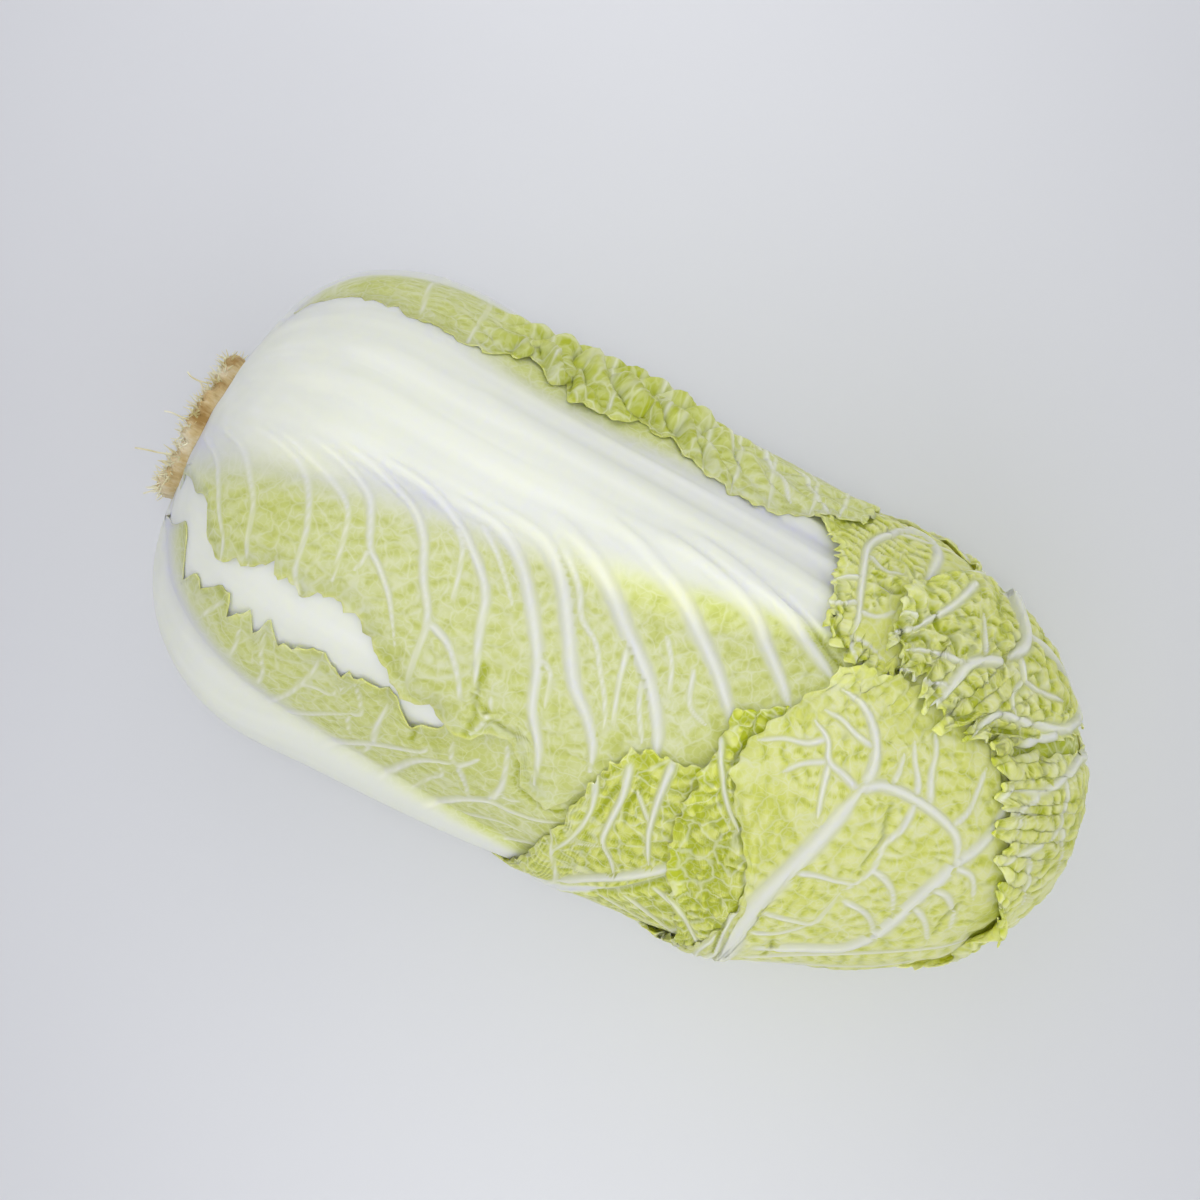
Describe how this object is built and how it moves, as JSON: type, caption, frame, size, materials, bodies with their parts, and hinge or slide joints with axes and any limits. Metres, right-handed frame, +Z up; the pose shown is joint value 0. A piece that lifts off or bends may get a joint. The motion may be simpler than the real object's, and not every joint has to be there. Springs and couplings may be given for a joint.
{
  "type": "napa cabbage",
  "caption": "Whole head of napa cabbage lying on its side: broad white ribs, pale yellow-green crinkled leaves folded over the crown, and a short cut stem.",
  "frame": {"origin": "on the surface it lies on, under the middle of the head", "axes": "+X from the cut stem to the crown, +Z up, +Y to the back of the head as it lies"},
  "size_m": [0.2964, 0.1614, 0.1458],
  "materials": {
    "cut_stem": "dry fibrous cut",
    "inner_leaf": "waxy",
    "ribbed_leaf": "waxy, white rib and pale green blade",
    "crinkled_leaf": "waxy, crinkled yellow-green"
  },
  "bodies": {
    "root": {"stem_butt": "cut_stem", "heart": "inner_leaf", "leaf_inner_front": "ribbed_leaf", "leaf_front": "ribbed_leaf", "leaf_upper": "ribbed_leaf", "leaf_shoulder": "crinkled_leaf", "leaf_back": "ribbed_leaf", "leaf_front_lap": "crinkled_leaf", "leaf_crown_lap": "crinkled_leaf", "leaf_crown_front": "crinkled_leaf", "leaf_crown_end": "crinkled_leaf", "leaf_crown_back": "crinkled_leaf"}
  },
  "joints": []
}
